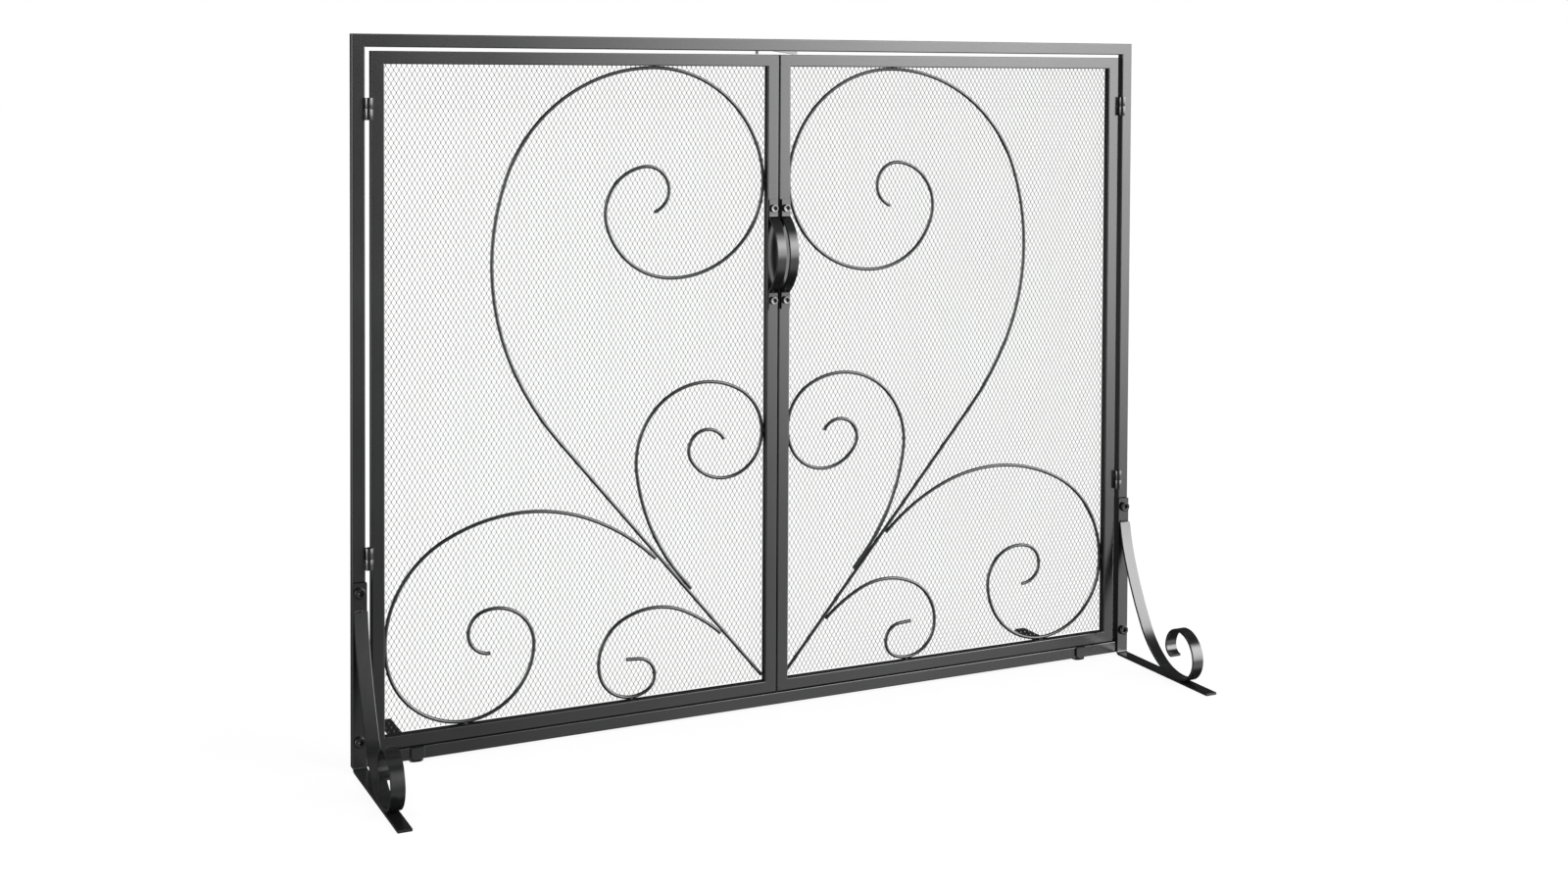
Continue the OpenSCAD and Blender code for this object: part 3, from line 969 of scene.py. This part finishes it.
def make_floor():
    """A dim floor that only the eye sees as white, so that it lights the steel little."""
    corners = [
        (x * FLOOR_REACH, y * FLOOR_REACH, 0) for x, y in ((-1, -1), (1, -1), (1, 1), (-1, 1))
    ]
    floor_mesh = bpy.data.meshes.new("floor")
    floor_mesh.from_pydata(corners, [], [(0, 1, 2, 3)])
    floor = bpy.data.objects.new("floor", floor_mesh)
    bpy.context.scene.collection.objects.link(floor)
    material = bpy.data.materials.new("pale_floor")
    material.use_nodes = True
    graph = Graph(material.node_tree)
    eye = graph.output(graph.add("ShaderNodeLightPath"), "Is Camera Ray")
    diffuse = graph.add("ShaderNodeBsdfDiffuse", None, FLOOR_SHADE)
    glow = graph.add("ShaderNodeEmission", None, (1, 1, 1, 1), eye * FLOOR_GLOW)
    both = graph.add("ShaderNodeAddShader", None, diffuse, glow)
    graph.add("ShaderNodeOutputMaterial", None, both)
    floor_mesh.materials.append(material)
    floor.visible_glossy = False


def make_world():
    """White all round for the eye, and soft panels of light round the screen for the steel.

    A direction is told by its turn to the right of the room's middle and by its rise, both in
    degrees. The last number of each panel is how bright it is."""
    world = bpy.data.worlds.new("studio")
    bpy.context.scene.world = world
    world.use_nodes = True
    graph = Graph(world.node_tree)
    towards = graph.add("ShaderNodeTexCoord")
    parts = graph.add("ShaderNodeSeparateXYZ", None, graph.output(towards, "Generated"))
    across, depth, height = (graph.output(parts, axis) for axis in "XYZ")
    turn = across.maths("ARCTAN2", depth * -1.0) * DEGREES
    rise = height.maths("ARCSINE") * DEGREES

    def between(value, start, full, fading, end):
        """0 up to start, 1 from full to fading, 0 again from end."""
        return value.step(start, full) * (1.0 - value.step(fading, end))

    upper = between(rise, -12.5, -1, 24, 50) * (between(rise, 0, 16, 20, 36) * 0.5 + 1.0)
    below = between(rise, -45, -28, -12, -2)
    key = between(turn, 14, 31, 32, 38) * upper * 5.4
    low_key = between(turn, 12, 28, 31, 34) * between(rise, -60, -30, -10, 0) * 0.7
    high = between(turn, 34, 41, 46, 56) * between(rise, 16, 32, 38, 50) * 4.5
    right = between(turn, 32, 38, 110, 130) * (upper * 3.6 + below * 1.0)
    left = between(turn, -128, -112, -70, -58) * (upper * 4.2 + below * 1.6)
    front = between(turn, -60, -20, 40, 80) * between(rise, -60, -30, 0, 30) * 0.15
    back = depth.step(0.5, 0.9) * between(rise, -15, -8, -6, 2) * 0.2
    level = 0.05 + key + low_key + high + right + left + front + back
    eye = graph.output(graph.add("ShaderNodeLightPath"), "Is Camera Ray")
    light = graph.add("ShaderNodeBackground", None, (1, 1, 1, 1), level)
    white = graph.add("ShaderNodeBackground", None, (1, 1, 1, 1), 1.0)
    seen = graph.add("ShaderNodeMixShader", None, eye, light, white)
    graph.add("ShaderNodeOutputWorld", None, seen)


def softbox(name, at, aim, size, radiance):
    """A flat rectangular light at a place, turned to another."""
    light = bpy.data.lights.new(name, "AREA")
    light.shape = "RECTANGLE"
    light.size, light.size_y = size
    light.energy = radiance * math.pi * size[0] * size[1]
    holder = bpy.data.objects.new(name, light)
    holder.location = at
    holder.rotation_euler = (Vector(aim) - Vector(at)).to_track_quat("-Z", "Y").to_euler()
    bpy.context.scene.collection.objects.link(holder)


def make_lights():
    softbox("overhead", (0.0, -0.6, 2.6), (0.0, 0.0, 0.4), (2.0, 1.2), 0.2)


CAMERA_AT = (-0.97778, -2.13293, 0.75615)
CAMERA_YAW = 27.639
CAMERA_PITCH = -1.763
CAMERA_ROLL = 0.396
CAMERA_LENS = 46.40
CAMERA_SHIFT = (-0.0698, -0.1992)


def make_camera():
    data = bpy.data.cameras.new("camera")
    data.lens = CAMERA_LENS
    data.sensor_width = 36
    data.shift_x, data.shift_y = CAMERA_SHIFT
    camera = bpy.data.objects.new("camera", data)
    bpy.context.scene.collection.objects.link(camera)
    yaw, pitch, roll = (math.radians(a) for a in (CAMERA_YAW, CAMERA_PITCH, CAMERA_ROLL))
    ahead = Vector((
        math.sin(yaw) * math.cos(pitch), math.cos(yaw) * math.cos(pitch), math.sin(pitch)
    ))
    level = Vector((math.cos(yaw), -math.sin(yaw), 0))
    up = level.cross(ahead)
    right = level * math.cos(roll) + up * math.sin(roll)
    top = up * math.cos(roll) - level * math.sin(roll)
    camera.matrix_world = Matrix((
        (right.x, top.x, -ahead.x, CAMERA_AT[0]),
        (right.y, top.y, -ahead.y, CAMERA_AT[1]),
        (right.z, top.z, -ahead.z, CAMERA_AT[2]),
        (0, 0, 0, 1),
    ))
    bpy.context.scene.camera = camera


# ---- The whole screen ----
make_camera()
make_frame()
cell = bpy.data.objects.new("mesh_cell", mesh_cell())
bpy.context.scene.collection.objects.link(cell)
for side in SIDES:
    make_door_tubes(side)
    for name in SCROLLS:
        make_scroll(side, name)
    make_mesh(side, cell)
    make_front_foot(side)
    make_rear_foot(side)
    make_bolts(side)
    make_screws(side)
    make_handle(side)
    make_rod_welds(side)
    make_foot_welds(side)
    for level in ("upper", "lower"):
        make_hinge_welds(side, level)
        make_knuckle(side, level, "frame")
        make_knuckle(side, level, "door")
        make_pin(side, level)
bpy.data.objects.remove(cell)
make_catch()
make_floor()
make_world()
make_lights()
bpy.context.scene.view_settings.view_transform = "Standard"
